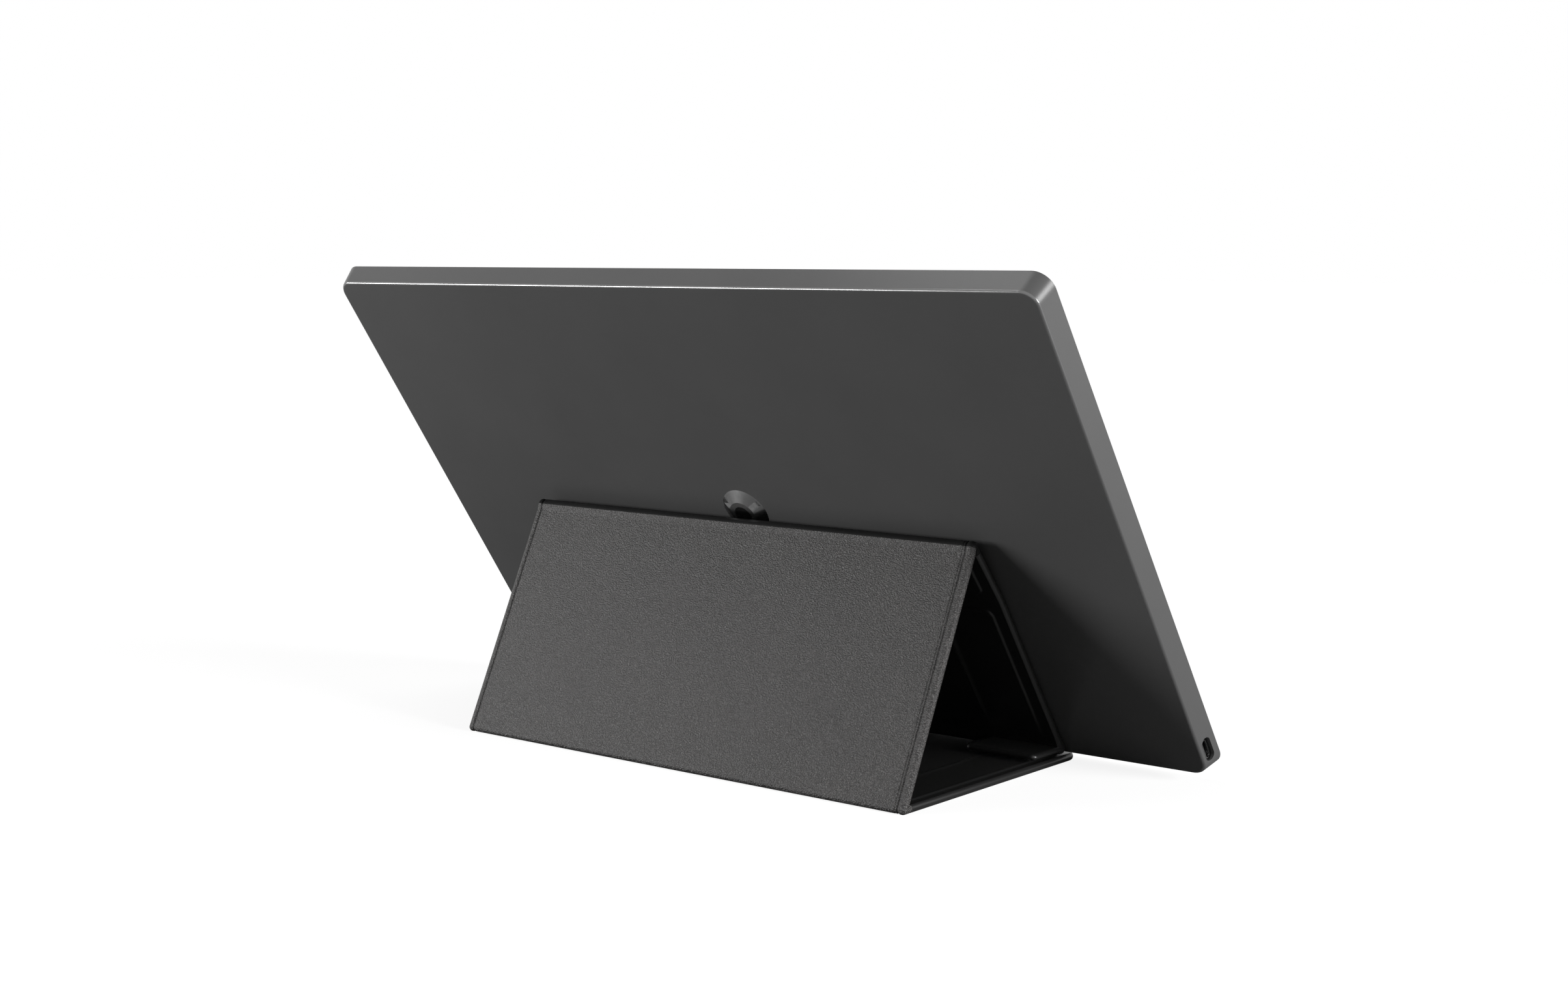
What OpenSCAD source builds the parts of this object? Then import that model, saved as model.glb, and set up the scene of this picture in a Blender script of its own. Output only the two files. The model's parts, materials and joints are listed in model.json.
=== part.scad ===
// Portable monitor with a folding leather cover that stands it up.
// Millimetres. Z is up, the screen faces -Y, the cover's rear panel faces +Y.
// The origin is on the desk, under the middle of the cover's base panel.

/* [Monitor] */
// Width of the monitor at its back
monitor_w = 364.6; // [300:0.1:420]
// Height of the monitor at its back, along the back
monitor_h = 232.8; // [200:0.1:280]
// Thickness of the monitor
monitor_t = 9.5; // [9.4:0.1:13]
// How far every side spreads outwards from the back to the screen
side_flare = 2.4; // [0.5:0.1:3]
// How far the monitor leans back from upright, in degrees
monitor_lean = 34.4; // [25:0.1:40]
// Radius of the four corners at the back
corner_r = 4; // [3:0.1:6]
// Chamfer round the back edge
back_chamfer = 0.4; // [0.2:0.1:0.8]
// Wall of the back shell's sides
side_wall = 1.8; // [1.4:0.1:2.4]
// Floor of the back shell
back_wall = 1.4; // [1.2:0.1:1.6]
// Thickness of the front bezel
bezel_t = 1.8; // [1.6:0.1:2]

/* [Screen] */
// Bezel at each side of the picture
bezel_side = 10; // [9.5:0.1:16]
// Bezel above the picture
bezel_top = 10.4; // [10:0.1:16]
// Bezel below the picture, with the buttons
bezel_bottom = 28.2; // [28:0.1:36]
// How far the panel reaches under the bezel
panel_lip = 3; // [2:0.1:3.5]
// Thickness of the liquid crystal cell
cell_t = 1.2; // [1:0.1:1.3]
// Thickness of the diffuser films together
films_t = 0.4; // [0.3:0.1:0.5]
// Thickness of the light guide
guide_t = 1.2; // [1:0.1:1.3]
// Thickness of the reflector sheet
reflector_t = 0.2; // [0.2:0.1:0.4]
// Thickness of the panel's metal tray
tray_t = 0.4; // [0.4:0.1:0.6]

/* [Electronics] */
// Thickness of every circuit board
pcb_t = 0.9; // [0.8:0.1:1]
// Height of the bosses under the main board
board_boss_h = 0.6; // [0.6:0.1:0.8]
// Length of the main board along the monitor's width
main_board_w = 92; // [80:1:110]
// Height of the main board along the monitor's back
main_board_h = 40; // [30:1:60]
// Height of the source driver board
source_board_h = 12; // [9:0.5:13]
// Radius of the small machine screws
screw_r = 1; // [0.8:0.1:1.2]
// Clearance round screws and in fixed sockets
fit_gap = 0.1; // [0.08:0.01:0.15]

/* [Port] */
// Length of the port's opening
port_l = 11.2; // [10.5:0.1:11.6]
// Width of the port's opening
port_w = 4.6; // [4.5:0.1:4.8]
// Height of the port's middle above the monitor's bottom
port_up = 10.7; // [9.7:0.1:16]
// Depth of the port's middle from the monitor's back
port_in = 4.3; // [4.2:0.1:4.5]
// Length of the receptacle's metal shell
receptacle_l = 9; // [8.9:0.1:9.2]
// Width of the receptacle's metal shell
receptacle_w = 3.3; // [3.2:0.1:3.4]
// Wall of the receptacle's metal shell
receptacle_wall = 0.35; // [0.3:0.05:0.4]
// Depth of the receptacle
receptacle_d = 7.5; // [6.5:0.1:9]

/* [Buttons] */
// Radius of the round power button
power_r = 3.6; // [3:0.1:4]
// Length of each menu button
menu_l = 9; // [7:0.1:11]
// Width of each menu button
menu_w = 4; // [3:0.1:4.5]
// Distance between the buttons' middles
button_pitch = 16; // [15:0.5:20]
// Height of the buttons above the monitor's bottom
button_up = 15; // [14:0.5:17]
// How far a button travels
button_travel = 0.5; // [0.3:0.1:0.5]
// Clearance round a button
button_gap = 0.3; // [0.25:0.05:0.4]

/* [Hub] */
// Radius of the hub at the monitor's back
hub_r = 11.3; // [10:0.1:13]
// Radius of the hub's flat end
hub_end_r = 6.4; // [6:0.1:6.8]
// Radius of the hub's neck in the back shell
hub_neck_r = 6; // [5:0.1:6.4]
// Radius of the push cap in the hub's middle
hub_cap_r = 4; // [3:0.1:4.4]
// How far the hub stands proud of the back
hub_proud = 2.5; // [1.5:0.1:2.6]
// Distance of the hub's middle above the middle of the back
hub_up = 2.2; // [0:0.1:4]
// Width of each of the three key slots in the hub
key_w = 3; // [2:0.1:3.6]
// Rim left under each key slot
key_rim = 0.3; // [0.2:0.1:0.5]
// Thickness of the steel plate behind the hub
hub_plate_t = 1.2; // [0.8:0.1:1.5]
// Distance of the hub's screws from its middle
hub_screw_at = 8.4; // [8.2:0.1:9]

/* [Cover] */
// Width of the cover, across its folds
cover_w = 237.4; // [220:0.1:260]
// Length of the base panel, with its rear fold
base_l = 121.8; // [116:0.1:126]
// Leather on the outside
leather_t = 1; // [0.8:0.1:1.2]
// Stiff board inside each panel
board_t = 1.9; // [1.6:0.1:2.1]
// Lining on the inside
lining_t = 0.6; // [0.5:0.1:0.8]
// Leather turned round the boards' edges
edge_turn = 3; // [2:0.5:4]
// Radius of the panels' outer corners
panel_corner_r = 4; // [2:0.5:6]
// How far the base reaches in front of the monitor's back edge
base_reach = 5.3; // [3:0.1:9]
// Length of the front wall below its crease
wall_l = 81.5; // [78:0.5:90]
// Length of the strip between the crease and the top fold
strip_l = 30; // [26:0.5:34]
// How much the strip leans away from the wall, in degrees
strip_kink = 4.8; // [4.6:0.1:7]
// Radius of the leather roll in the top and front folds
fold_r = 2.4; // [2.2:0.1:2.6]
// Depth of the end tabs that lie on the base
tab_l = 22; // [18:0.5:28]
// Width of each end tab
tab_w = 34; // [28:0.5:44]
// Play between pieces that touch but move
play = 0.3; // [0.25:0.05:0.35]

/* [Magnets] */
// Radius of the round magnets
magnet_r = 4; // [3:0.1:4.4]
// Thickness of the round magnets
magnet_t = 1; // [0.8:0.1:1.1]

/* [Hidden] */
$fn = 96;
eps = 0.01;
panel_t = leather_t + board_t + lining_t;
half_t = panel_t / 2;
lean_a = 90 - monitor_lean;

// Points in the side view, each [y, z], and the panels' directions there
rear_axis = [base_l / 2 - half_t, half_t];
back_edge = [base_reach - base_l / 2, panel_t + play];
up_dir = [cos(lean_a), sin(lean_a)];
rear_dir = [sin(lean_a), -cos(lean_a)];
front_axis_out = fold_r + play;
front_axis_up = (fold_r + front_axis_out * cos(lean_a)) / sin(lean_a);
front_axis = back_edge + front_axis_up * up_dir + front_axis_out * rear_dir;
wall_a = lean_a - 0.2;
crease_axis = front_axis + wall_l * [cos(wall_a), sin(wall_a)];
strip_a = wall_a - strip_kink;
top_axis = crease_axis + strip_l * [cos(strip_a), sin(strip_a)];
rear_span = top_axis - rear_axis;
rear_l = norm(rear_span);
rear_a = atan2(rear_span[1], rear_span[0]);

// A board starts this far from a fold, so that two panels never meet inside it
function fold_inset(between) = (half_t + play) / tan(between / 2);
rear_inset = fold_inset(180 - rear_a);
top_inset = fold_inset(rear_a - strip_a);
crease_inset = half_t + play;
front_inset = 6.5;
// How far a flat fold's roll differs from its web, so that the two never only touch
roll_step = 0.05;

shell_h = monitor_t - bezel_t;
cell_z = shell_h - cell_t;
films_z = cell_z - films_t;
guide_z = films_z - guide_t;
reflector_z = guide_z - reflector_t;
tray_z = reflector_z - tray_t;
picture_w = monitor_w - 2 * bezel_side;
picture_h = monitor_h - bezel_top - bezel_bottom;
picture_y = bezel_bottom;
panel_w = picture_w + 2 * panel_lip;
panel_h = picture_h + 2 * panel_lip;
panel_y = picture_y - panel_lip;
led_h = 3;
trim_wall = 0.6;
trim_recess = 2;
tongue_in = 1.2;
tongue_w = 6.6;
tongue_t = 0.7;
post_r = 1.5;
lens_r = 0.9;
lens_gap = 5;
button_board_half = 5;
guide_y = panel_y + led_h;
main_z = back_wall + board_boss_h;
main_x = -monitor_w / 2 + side_wall + 6;
board_y = max(side_wall + 1.5, port_up - main_board_h / 3);
receptacle_z = port_in - (port_w - receptacle_w) / 2 + 0.5;
source_x = 40;
source_board_w = 0.43 * panel_w;
source_y = side_wall + 1;
boss_r = 2.6;
boss_inset = 6;
flex_room = 16;
flex_w = 6;
flex_t = 0.3;
hub_y = monitor_h / 2 + hub_up;
button_x = monitor_w / 2 - 30;
button_z = shell_h - 3.4;
cap_proud = 0.3;
hub_screw_in = min(0.8, hub_proud / 3);
head_r = 1.8 * screw_r;
head_h = 0.6;

// Places something given in the monitor's own axes: x across, y up the back, z towards the screen
module on_monitor() translate([0, back_edge[0], back_edge[1]]) rotate([lean_a, 0, 0]) children();

// Places a panel: x across, y from the fold along the panel, z towards its leather side
module panel_at(fold, angle, flip = false)
  translate([0, fold[0], fold[1]]) rotate([angle, 0, 0])
    mirror([0, 0, flip ? 1 : 0]) children();

module on_base() panel_at(rear_axis, 180) children();
module on_rear() panel_at(rear_axis, rear_a, true) children();
module on_strip() panel_at(top_axis, strip_a + 180, true) children();
module on_wall() panel_at(crease_axis, wall_a + 180, true) children();
module on_tab() panel_at(front_axis, 0, true) children();

// A flat plate in the xy plane with its own radius at the far and at the near corners
module plate_2d(w, y0, y1, r_near, r_far) {
  translate([-w / 2 + r_near, y0]) square([w - 2 * r_near, r_near + eps]);
  translate([-w / 2 + r_far, y1 - r_far - eps]) square([w - 2 * r_far, r_far + eps]);
  translate([-w / 2, y0 + r_near]) square([w, y1 - y0 - r_near - r_far]);
  for (s = [-1, 1]) {
    translate([s * (w / 2 - r_near), y0 + r_near]) circle(r_near);
    translate([s * (w / 2 - r_far), y1 - r_far]) circle(r_far);
  }
}

module slab(w, y0, y1, z0, z1, x = 0)
  translate([x - w / 2, y0, z0]) cube([w, y1 - y0, z1 - z0]);

module plate(w, y0, y1, z0, z1, r_near = 0.6, r_far = 0.6, x = 0)
  translate([x, 0, z0]) linear_extrude(z1 - z0) plate_2d(w, y0, y1, r_near, r_far);

// Cover panels

// Leather: a tray that wraps the board's edges and leaves the lining in its mouth
module skin(w, y0, y1, r_near, r_far, x = 0) difference() {
  plate(w, y0, y1, -half_t, half_t, r_near, r_far, x);
  slab(w - 2 * edge_turn, y0 + edge_turn, y1 - edge_turn, -half_t - 1, half_t - leather_t, x);
}
module stiffener(w, y0, y1, x = 0)
  slab(w - 2 * edge_turn, y0 + edge_turn, y1 - edge_turn, lining_t - half_t, half_t - leather_t, x);
module lining(w, y0, y1, x = 0)
  slab(w - 2 * edge_turn, y0 + edge_turn, y1 - edge_turn, -half_t, lining_t - half_t, x);

// Leather between two panels: a roll on the fold's axis and the web to the panel it belongs to
module fold_roll(w, r, web) {
  rotate([0, 90, 0]) cylinder(r = r, h = w, center = true);
  slab(w, 0, web, -half_t, half_t);
}

base_end = base_l - half_t;
module base_magnet_places() for (s = [-1, 1], k = [-1, 1])
  translate([s * (cover_w / 2 - tab_w / 2) + k * tab_w / 4, tab_magnet_y_base, 0]) children();
tab_magnet_y = front_inset + (tab_l - front_inset) / 2;
tab_magnet_y_base = rear_axis[0] - front_axis[0] - tab_magnet_y;

module base_skin() color("#6b6a6c") on_base()
  skin(cover_w, rear_inset, base_end, 0.6, panel_corner_r);
module base_stiffener() color("#8a7f6a") on_base() difference() {
  stiffener(cover_w, rear_inset, base_end);
  base_magnet_places() magnet_pocket();
}
module base_lining() color("#18181a") on_base() lining(cover_w, rear_inset, base_end);
module magnet_pocket() translate([0, 0, lining_t - half_t]) cylinder(r = magnet_r, h = magnet_t);
module base_magnets() color("#b9bcc0") on_base() base_magnet_places() magnet_pocket();
module rear_fold() color("#6b6a6c") on_base()
  fold_roll(cover_w, half_t - roll_step, rear_inset);

module rear_skin() color("#6b6a6c") on_rear()
  skin(cover_w, rear_inset, rear_l - top_inset, 0.6, 0.6);
module rear_stiffener() color("#8a7f6a") on_rear()
  stiffener(cover_w, rear_inset, rear_l - top_inset);
module rear_lining() color("#18181a") on_rear()
  lining(cover_w, rear_inset, rear_l - top_inset);
module top_fold() color("#5f5e60") on_rear() translate([0, rear_l, 0]) mirror([0, 1, 0])
  fold_roll(cover_w, fold_r, top_inset);

module strip_skin() color("#6b6a6c") on_strip()
  skin(cover_w, top_inset, strip_l - crease_inset, 0.6, 0.6);
module strip_stiffener() color("#8a7f6a") on_strip()
  stiffener(cover_w, top_inset, strip_l - crease_inset);
module strip_lining() color("#18181a") on_strip()
  lining(cover_w, top_inset, strip_l - crease_inset);
module crease_fold() color("#5f5e60") {
  on_strip() slab(cover_w, strip_l - crease_inset, strip_l, -half_t, half_t);
  on_wall() slab(cover_w, 0, crease_inset, -half_t, half_t);
  panel_at(crease_axis, 0) rotate([0, 90, 0])
    cylinder(r = half_t + roll_step, h = cover_w, center = true);
}

module wall_skin() color("#6b6a6c") on_wall()
  skin(cover_w, crease_inset, wall_l - front_inset, 0.6, 0.6);
module wall_stiffener() color("#8a7f6a") on_wall()
  stiffener(cover_w, crease_inset, wall_l - front_inset);
module wall_lining() color("#18181a") on_wall()
  lining(cover_w, crease_inset, wall_l - front_inset);
module front_fold() color("#5f5e60") on_wall() translate([0, wall_l, 0]) mirror([0, 1, 0])
  fold_roll(cover_w, fold_r, front_inset);

// Two end tabs turn in over the base and are held there by magnets
tab_half_t = 1.25;
tab_leather_t = 0.6;
tab_lining_t = 0.4;
tab_rim = 1.5;
strip_w = 0.8;
module each_tab() for (s = [-1, 1]) translate([s * (cover_w / 2 - tab_w / 2), 0, 0]) children();
module tab_skins() color("#3a3a3c") on_tab() each_tab() {
  difference() {
    plate(tab_w, front_inset, tab_l, -tab_half_t, tab_half_t, 0.6, 2);
    slab(tab_w - 2 * tab_rim, front_inset + tab_rim, tab_l - tab_rim,
      -tab_half_t - 1, tab_half_t - tab_leather_t);
  }
  slab(tab_w - 1.2, fold_r + play, front_inset + eps, tab_half_t - tab_leather_t, tab_half_t);
}
module tab_body(z0, z1) slab(tab_w - 2 * tab_rim, front_inset + tab_rim, tab_l - tab_rim, z0, z1);
module tab_magnet_places() for (k = [-1, 1])
  translate([k * tab_w / 4, tab_magnet_y, tab_half_t - tab_leather_t - magnet_t]) children();
module tab_stiffeners() color("#8a7f6a") on_tab() each_tab() difference() {
  tab_body(tab_lining_t - tab_half_t, tab_half_t - tab_leather_t);
  tab_magnet_places() cylinder(r = magnet_r, h = magnet_t + 1);
}
module tab_linings() color("#18181a") on_tab() each_tab()
  tab_body(-tab_half_t, tab_lining_t - tab_half_t);
module tab_magnets() color("#b9bcc0") on_tab() each_tab() tab_magnet_places()
  cylinder(r = magnet_r, h = magnet_t);
module tab_end_strips() color("#c9ccd0") on_tab() for (s = [-1, 1])
  translate([s * (cover_w / 2 - tab_w - strip_w / 2), 0, 0])
    slab(strip_w, front_inset + tab_rim, tab_l - tab_rim, -tab_half_t, tab_half_t);

// Monitor casing

// How far the sides have spread at a height above the back
function spread(z) = side_flare * z / monitor_t;

// A block whose sides lean outwards: o0 and o1 are its offsets from the back's outline at z0 and z1
module flared_block(z0, z1, o0, o1) {
  for (x = [-1, 1], y = [corner_r, monitor_h - corner_r])
    translate([x * (monitor_w / 2 - corner_r), y, z0])
      cylinder(r1 = corner_r + o0, r2 = corner_r + o1, h = z1 - z0);
  translate([corner_r - monitor_w / 2, 0, 0]) rotate([90, 0, 90])
    linear_extrude(monitor_w - 2 * corner_r)
      polygon([[-o0, z0], [monitor_h + o0, z0], [monitor_h + o1, z1], [-o1, z1]]);
  translate([0, corner_r, 0]) rotate([-90, 0, 0]) linear_extrude(monitor_h - 2 * corner_r)
    polygon([[-monitor_w / 2 - o0, -z0], [monitor_w / 2 + o0, -z0],
      [monitor_w / 2 + o1, -z1], [-monitor_w / 2 - o1, -z1]]);
}

module port_slot(l, w, d) rotate([0, 90, 0]) translate([0, 0, -2]) linear_extrude(d + 2) {
  r = w / 2;
  for (s = [-1, 1]) translate([0, s * (l / 2 - r)]) circle(r);
  square([w, l - 2 * r], center = true);
}
module at_port(z) translate([-monitor_w / 2 - spread(port_in - port_w / 2), port_up, z]) children();

module board_boss_places()
  for (x = [boss_inset, main_board_w - flex_room], y = [boss_inset, main_board_h - boss_inset])
    translate([main_x + x, board_y + y, 0]) children();
module hub_screw_places() for (a = [90, 210, 330]) rotate(a)
  translate([hub_screw_at, 0, 0]) children();
module at_hub(z = 0) translate([0, hub_y, z]) children();

module back_shell() color("#4c4c4f") on_monitor() difference() {
  union() {
    difference() {
      union() {
        flared_block(0, back_chamfer, -back_chamfer, spread(back_chamfer));
        flared_block(back_chamfer, shell_h, spread(back_chamfer), spread(shell_h));
      }
      translate([0, 0, back_wall]) linear_extrude(shell_h) plate_2d(monitor_w - 2 * side_wall,
        side_wall, monitor_h - side_wall, corner_r - side_wall, corner_r - side_wall);
    }
    board_boss_places() cylinder(r = boss_r, h = main_z);
  }
  board_boss_places() translate([0, 0, back_wall]) cylinder(r = screw_r + fit_gap, h = shell_h);
  at_port(port_in) port_slot(port_l + 2 * fit_gap, port_w + 2 * fit_gap,
    side_wall + spread(port_in - port_w / 2) + 1);
  at_hub(-1) {
    cylinder(r = hub_neck_r + fit_gap, h = back_wall + 2);
    hub_screw_places() cylinder(r = screw_r + fit_gap, h = back_wall + 2);
  }
}

module button_places(gap = 0) {
  translate([button_x, button_up, 0]) circle(power_r + gap);
  for (k = [1, 2]) menu_2d(k, gap);
}
module menu_2d(k, gap = 0) translate([button_x - k * button_pitch, button_up]) {
  r = menu_w / 2 + gap;
  for (s = [-1, 1]) translate([s * (menu_l / 2 - menu_w / 2), 0]) circle(r);
  square([menu_l - menu_w, 2 * r], center = true);
}
lens_x = button_x + power_r + lens_gap;
button_floor = button_z + pcb_t;
button_board_x0 = button_x - 2 * button_pitch - menu_l / 2 - 2 * post_r - 2;
button_board_x1 = lens_x + 2 * post_r + 4;

module front_bezel() color("#2b2b2d") on_monitor() {
  difference() {
    flared_block(shell_h, monitor_t, spread(shell_h), spread(monitor_t));
    slab(picture_w, picture_y, picture_y + picture_h, shell_h - 1, monitor_t + 1);
    translate([0, 0, shell_h - 1]) linear_extrude(bezel_t + 2) button_places(button_gap);
    translate([lens_x, button_up, shell_h - 1]) cylinder(r = lens_r + fit_gap, h = bezel_t + 2);
  }
  for (x = [button_board_x0 + post_r, button_board_x1 - post_r])
    translate([x, button_up, button_floor]) cylinder(r = post_r, h = shell_h - button_floor + 1);
}

// Screen stack, from the front to the back

module panel_layer(y0, z0, z1, inset = 0)
  slab(panel_w - 2 * inset, y0 + inset, panel_y + panel_h - inset, z0, z1);
module lcd_cell() color("#101114") on_monitor() panel_layer(panel_y, cell_z, shell_h);
module diffuser_films() color("#e9eaec") on_monitor() panel_layer(guide_y, films_z, cell_z, 0.5);
module light_guide() color("#dfe8ec") on_monitor() panel_layer(guide_y, guide_z, films_z, 0.5);
module reflector_sheet() color("#f2f2f2") on_monitor()
  panel_layer(guide_y, reflector_z, guide_z, 0.5);
module panel_tray() color("#b4b7ba") on_monitor() panel_layer(panel_y, tray_z, reflector_z);
module mid_frame() color("#d8d8d6") on_monitor() difference() {
  slab(panel_w + 3, panel_y - 1.5, panel_y + panel_h + 1.5, tray_z, cell_z);
  slab(panel_w, panel_y, panel_y + panel_h, tray_z - 1, shell_h);
}
module led_bar() color("#f4f0d8") on_monitor()
  slab(panel_w - 1, panel_y, panel_y + led_h, reflector_z, films_z);

// Electronics

module main_board() color("#1f5a3a") on_monitor() difference() {
  slab(main_board_w, board_y, board_y + main_board_h, main_z, main_z + pcb_t,
    main_x + main_board_w / 2);
  board_boss_places() cylinder(r = screw_r + fit_gap, h = shell_h);
}
shield_x0 = main_x + boss_inset + 2 * head_r;
shield_x1 = main_x + main_board_w - flex_room - 2 * head_r;
shield_top = min(main_z + pcb_t + 0.8, tray_z - 0.2);
module board_shield() color("#c4c6c8") on_monitor()
  slab(shield_x1 - shield_x0, board_y + 2, board_y + main_board_h - 2, main_z + pcb_t,
    shield_top, (shield_x0 + shield_x1) / 2);
module source_board() color("#1f5a3a") on_monitor()
  slab(source_board_w, source_y, source_y + source_board_h, back_wall, back_wall + pcb_t, source_x);
module flex_cable() color("#c98a3a") on_monitor() {
  board_end = main_x + main_board_w;
  x0 = board_end - flex_room / 2;
  x1 = source_x - source_board_w / 2 + flex_room / 2;
  y0 = max(board_y, source_y) + 2;
  source_top = back_wall + pcb_t;
  slab(board_end + 1 - x0, y0, y0 + flex_w, main_z + pcb_t, main_z + pcb_t + flex_t,
    (board_end + 1 + x0) / 2);
  slab(flex_t, y0, y0 + flex_w, source_top, main_z + pcb_t + flex_t, board_end + 1 + flex_t / 2);
  slab(x1 - board_end - 1, y0, y0 + flex_w, source_top, source_top + flex_t,
    (x1 + board_end + 1) / 2);
}
module board_screws() color("#9a9da1") on_monitor() board_boss_places() {
  translate([0, 0, back_wall]) cylinder(r = screw_r, h = main_z + pcb_t - back_wall);
  translate([0, 0, main_z + pcb_t]) cylinder(r = head_r, h = head_h);
}

// Port

module port_trim() color("#0c0c0d") on_monitor() at_port(port_in) difference() {
  port_slot(port_l, port_w, receptacle_d);
  translate([-4, 0, 0]) cube([8 + 2 * fit_gap, port_l + 2, port_w + 2], center = true);
  port_slot(port_l - 2 * trim_wall, port_w - 2 * trim_wall, trim_recess);
  translate([0, 0, receptacle_z - port_in])
    port_slot(receptacle_l + 2 * fit_gap, receptacle_w + 2 * fit_gap, receptacle_d + 1);
}
module port_shell() color("#c3c6ca") on_monitor() at_port(receptacle_z) difference() {
  port_slot(receptacle_l, receptacle_w, receptacle_d);
  translate([-4, 0, 0]) cube([8 + 4 * fit_gap, receptacle_l + 2, receptacle_w + 2], center = true);
  port_slot(receptacle_l - 2 * receptacle_wall, receptacle_w - 2 * receptacle_wall,
    receptacle_d - 1);
}
module port_tongue() color("#26262a") on_monitor() at_port(receptacle_z)
  translate([tongue_in, -tongue_w / 2, -tongue_t / 2])
    cube([receptacle_d - 1 - tongue_in, tongue_w, tongue_t]);

// Buttons

cap_floor = button_floor + button_travel + fit_gap;
module button_board() color("#1f5a3a") on_monitor()
  slab(button_board_x1 - button_board_x0, button_up - button_board_half,
    button_up + button_board_half, button_z, button_floor,
    (button_board_x0 + button_board_x1) / 2);
module button_cap() translate([0, 0, cap_floor])
  linear_extrude(monitor_t + cap_proud - cap_floor) children();
module power_button() color("#111113") on_monitor() button_cap()
  translate([button_x, button_up]) circle(power_r);
module brighter_button() color("#111113") on_monitor() button_cap() menu_2d(1);
module dimmer_button() color("#111113") on_monitor() button_cap() menu_2d(2);
module status_lens() color("#cfe6f5") on_monitor()
  translate([lens_x, button_up, button_floor]) cylinder(r = lens_r, h = monitor_t - button_floor);

// Hub in the middle of the back

module hub_boss() color("#0d0d0e") on_monitor() at_hub() difference() {
  union() {
    mirror([0, 0, 1]) cylinder(r1 = hub_r, r2 = hub_end_r, h = hub_proud - fit_gap);
    cylinder(r = hub_neck_r, h = back_wall);
  }
  translate([0, 0, -hub_proud - 1]) cylinder(r = hub_cap_r + fit_gap, h = back_wall + hub_proud + 2);
  for (a = [30, 150, 270]) rotate(a) translate([hub_end_r, -key_w / 2, -hub_proud - 1])
    cube([hub_r, key_w, hub_proud + 1 - key_rim]);
  hub_screw_places() translate([0, 0, -hub_screw_in - fit_gap])
    cylinder(r = screw_r + fit_gap, h = hub_proud + 1);
}
module hub_cap() color("#151517") on_monitor() at_hub(-hub_proud)
  cylinder(r = hub_cap_r, h = hub_proud + back_wall);
module hub_plate() color("#a9abae") on_monitor() at_hub(back_wall) difference() {
  cylinder(r = hub_r, h = hub_plate_t);
  hub_screw_places() translate([0, 0, -1]) cylinder(r = screw_r + fit_gap, h = hub_plate_t + 2);
}
module hub_screws() color("#9a9da1") on_monitor() at_hub() hub_screw_places() {
  translate([0, 0, -hub_screw_in]) cylinder(r = screw_r, h = hub_screw_in + back_wall + hub_plate_t);
  translate([0, 0, back_wall + hub_plate_t]) cylinder(r = head_r, h = head_h);
}

back_shell();
front_bezel();
lcd_cell();
diffuser_films();
light_guide();
reflector_sheet();
panel_tray();
mid_frame();
led_bar();
main_board();
board_shield();
source_board();
flex_cable();
board_screws();
port_trim();
port_shell();
port_tongue();
button_board();
power_button();
brighter_button();
dimmer_button();
status_lens();
hub_boss();
hub_cap();
hub_plate();
hub_screws();
base_skin();
base_stiffener();
base_lining();
base_magnets();
rear_fold();
rear_skin();
rear_stiffener();
rear_lining();
top_fold();
strip_skin();
strip_stiffener();
strip_lining();
crease_fold();
wall_skin();
wall_stiffener();
wall_lining();
front_fold();
tab_skins();
tab_stiffeners();
tab_linings();
tab_magnets();
tab_end_strips();
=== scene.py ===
"""Looks of a portable monitor that stands in its folding leather cover.

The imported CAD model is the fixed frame. The cover's leather, folds and tabs and the monitor's
casing are made here as surfaces on numpy grids, in millimetres of the same frame: X across the
cover, Y from the screen towards the cover's rear panel, Z up. The screen's border is the CAD mesh
with rounder corners, and the other solids get materials.
"""

import json
import math

import bmesh
import bpy
import numpy as np
from mathutils import Matrix, Vector


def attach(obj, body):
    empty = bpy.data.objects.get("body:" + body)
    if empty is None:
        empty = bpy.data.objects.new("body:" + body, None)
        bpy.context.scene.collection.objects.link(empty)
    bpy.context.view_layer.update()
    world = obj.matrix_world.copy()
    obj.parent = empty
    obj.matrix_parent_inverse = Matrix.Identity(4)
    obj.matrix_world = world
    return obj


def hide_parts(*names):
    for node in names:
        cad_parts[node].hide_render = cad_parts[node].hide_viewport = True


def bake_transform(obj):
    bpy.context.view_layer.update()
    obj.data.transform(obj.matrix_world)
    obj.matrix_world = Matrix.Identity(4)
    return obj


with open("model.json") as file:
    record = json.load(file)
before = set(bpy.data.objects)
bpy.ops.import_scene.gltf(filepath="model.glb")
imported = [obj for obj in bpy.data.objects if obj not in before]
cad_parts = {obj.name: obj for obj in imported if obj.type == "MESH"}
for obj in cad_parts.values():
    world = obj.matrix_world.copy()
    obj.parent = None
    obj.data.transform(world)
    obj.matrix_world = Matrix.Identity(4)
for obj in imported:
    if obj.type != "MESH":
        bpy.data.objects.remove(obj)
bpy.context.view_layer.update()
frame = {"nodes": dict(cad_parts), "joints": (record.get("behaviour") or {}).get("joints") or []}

MM = 0.001

# Camera, fitted to the photograph's edges
CAMERA_AT = (-595.979, 720.463, 208.762)
CAMERA_YAW = 39.067
CAMERA_PITCH = 6.140
CAMERA_ROLL = 0.058
FOCAL_PIXELS = 3412.704
IMAGE_WIDTH = 2408
SENSOR = 36.0

# Cover: lengths run from fold axis to fold axis, or from an axis to a free end
COVER_W = 237.4
HALF_T = 1.75
FOLD_R = 2.4
BASE_END = 120.05
WALL_LENGTH = 81.5
WALL_ANGLE = 55.4
FOLD_PLAY = 0.3
FOLD_SKIN = 0.2
FOLD_STEP = 0.4
CREASE_WEB = 2.5
FRONT_WEB = 6.5
TAB_HALF_T = 1.25
TAB_LENGTH = 22.0
TAB_WIDTH = 34.0

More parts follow.
